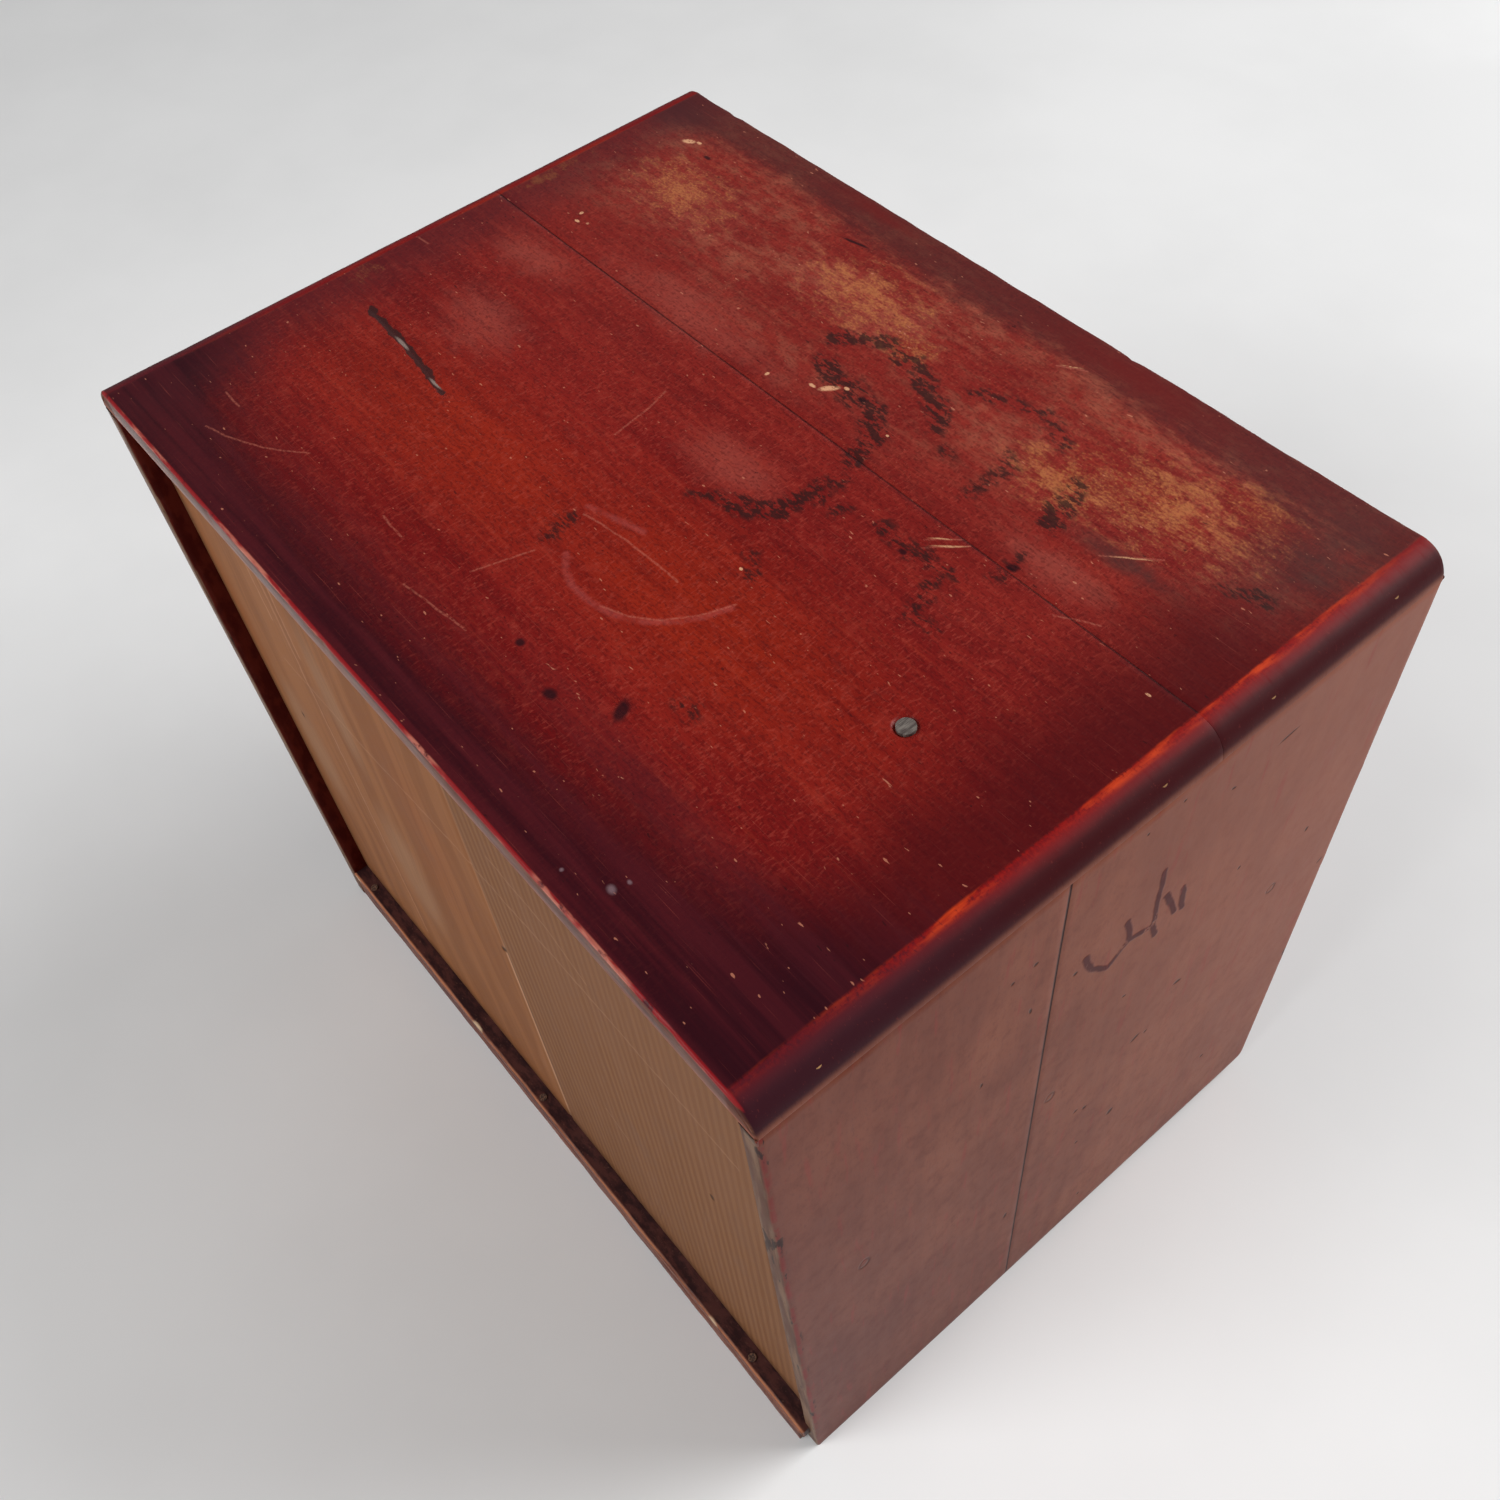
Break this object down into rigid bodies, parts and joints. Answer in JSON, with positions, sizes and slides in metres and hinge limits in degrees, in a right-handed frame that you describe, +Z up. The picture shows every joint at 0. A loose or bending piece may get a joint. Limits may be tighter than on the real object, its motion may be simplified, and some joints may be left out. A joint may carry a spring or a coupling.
{
  "type": "tansu",
  "caption": "Small tabletop chest of drawers in worn red and dark lacquer, with a recessed bare cedar back, sliding drawers and swinging iron bails.",
  "frame": {"origin": "on the floor, at the middle of the whole footprint, pulls included", "axes": "+Z up, drawer fronts face -Y, +X to the right as seen from the front"},
  "size_m": [0.364, 0.2704, 0.336],
  "materials": {
    "top_lacquer": "worn gloss lacquer",
    "side_lacquer": "semi-gloss lacquer",
    "front_lacquer": "semi-gloss lacquer",
    "ledge_lacquer": "worn matte lacquer",
    "cedar_panel": "bare, dry",
    "inner_wood": "bare, planed",
    "peg_wood": "bare",
    "plug_wood": "grey, matte",
    "iron": "forged, blackened"
  },
  "bodies": {
    "case": {"top_front_board": "top_lacquer", "top_rear_board": "top_lacquer", "top_plug": "plug_wood", "top_dowels": "peg_wood", "left_side_front_board": "side_lacquer", "left_side_rear_board": "side_lacquer", "right_side_front_board": "side_lacquer", "right_side_rear_board": "side_lacquer", "bottom_board": "ledge_lacquer", "rear_base_rail": "ledge_lacquer", "front_base_rail": "front_lacquer", "base_nails": "iron", "back_board_left": "cedar_panel", "back_board_right": "cedar_panel", "upper_front_rail": "front_lacquer", "upper_dust_board": "inner_wood", "lower_front_rail": "front_lacquer", "lower_dust_board": "inner_wood", "centre_divider": "inner_wood"},
    "drawer_top_left": {"drawer_top_left_front": "front_lacquer", "drawer_top_left_left_side": "inner_wood", "drawer_top_left_right_side": "inner_wood", "drawer_top_left_back": "inner_wood", "drawer_top_left_bottom": "inner_wood", "drawer_top_left_pegs": "peg_wood", "drawer_top_left_washers": "iron", "drawer_top_left_pins": "iron"},
    "drawer_top_right": {"drawer_top_right_front": "front_lacquer", "drawer_top_right_left_side": "inner_wood", "drawer_top_right_right_side": "inner_wood", "drawer_top_right_back": "inner_wood", "drawer_top_right_bottom": "inner_wood", "drawer_top_right_pegs": "peg_wood", "drawer_top_right_washers": "iron", "drawer_top_right_pins": "iron"},
    "drawer_middle": {"drawer_middle_front": "front_lacquer", "drawer_middle_left_side": "inner_wood", "drawer_middle_right_side": "inner_wood", "drawer_middle_back": "inner_wood", "drawer_middle_bottom": "inner_wood", "drawer_middle_pegs": "peg_wood", "drawer_middle_washers": "iron", "drawer_middle_pins": "iron"},
    "drawer_bottom": {"drawer_bottom_front": "front_lacquer", "drawer_bottom_left_side": "inner_wood", "drawer_bottom_right_side": "inner_wood", "drawer_bottom_back": "inner_wood", "drawer_bottom_bottom": "inner_wood", "drawer_bottom_pegs": "peg_wood", "drawer_bottom_washers": "iron", "drawer_bottom_pins": "iron"},
    "bail_top_left": {"bail_top_left": "iron"},
    "bail_top_right": {"bail_top_right": "iron"},
    "bail_middle_left": {"bail_middle_left": "iron"},
    "bail_middle_right": {"bail_middle_right": "iron"},
    "bail_bottom_left": {"bail_bottom_left": "iron"},
    "bail_bottom_right": {"bail_bottom_right": "iron"}
  },
  "joints": [
    {"name": "drawer_top_left_slide", "type": "slide", "parent": "case", "child": "drawer_top_left", "axis": [0, -1, 0], "range_m": [0, 0.19]},
    {"name": "drawer_top_right_slide", "type": "slide", "parent": "case", "child": "drawer_top_right", "axis": [0, -1, 0], "range_m": [0, 0.19]},
    {"name": "drawer_middle_slide", "type": "slide", "parent": "case", "child": "drawer_middle", "axis": [0, -1, 0], "range_m": [0, 0.19]},
    {"name": "drawer_bottom_slide", "type": "slide", "parent": "case", "child": "drawer_bottom", "axis": [0, -1, 0], "range_m": [0, 0.19]},
    {"name": "bail_top_left_swing", "type": "hinge", "parent": "drawer_top_left", "child": "bail_top_left", "pos_m": [-0.08925, -0.132, 0.29155], "axis": [-1, 0, 0], "range_deg": [0, 150]},
    {"name": "bail_top_right_swing", "type": "hinge", "parent": "drawer_top_right", "child": "bail_top_right", "pos_m": [0.08925, -0.132, 0.29155], "axis": [-1, 0, 0], "range_deg": [0, 150]},
    {"name": "bail_middle_left_swing", "type": "hinge", "parent": "drawer_middle", "child": "bail_middle_left", "pos_m": [-0.092, -0.132, 0.19355], "axis": [-1, 0, 0], "range_deg": [0, 150]},
    {"name": "bail_middle_right_swing", "type": "hinge", "parent": "drawer_middle", "child": "bail_middle_right", "pos_m": [0.092, -0.132, 0.19355], "axis": [-1, 0, 0], "range_deg": [0, 150]},
    {"name": "bail_bottom_left_swing", "type": "hinge", "parent": "drawer_bottom", "child": "bail_bottom_left", "pos_m": [-0.092, -0.132, 0.08205], "axis": [-1, 0, 0], "range_deg": [0, 150]},
    {"name": "bail_bottom_right_swing", "type": "hinge", "parent": "drawer_bottom", "child": "bail_bottom_right", "pos_m": [0.092, -0.132, 0.08205], "axis": [-1, 0, 0], "range_deg": [0, 150]}
  ]
}
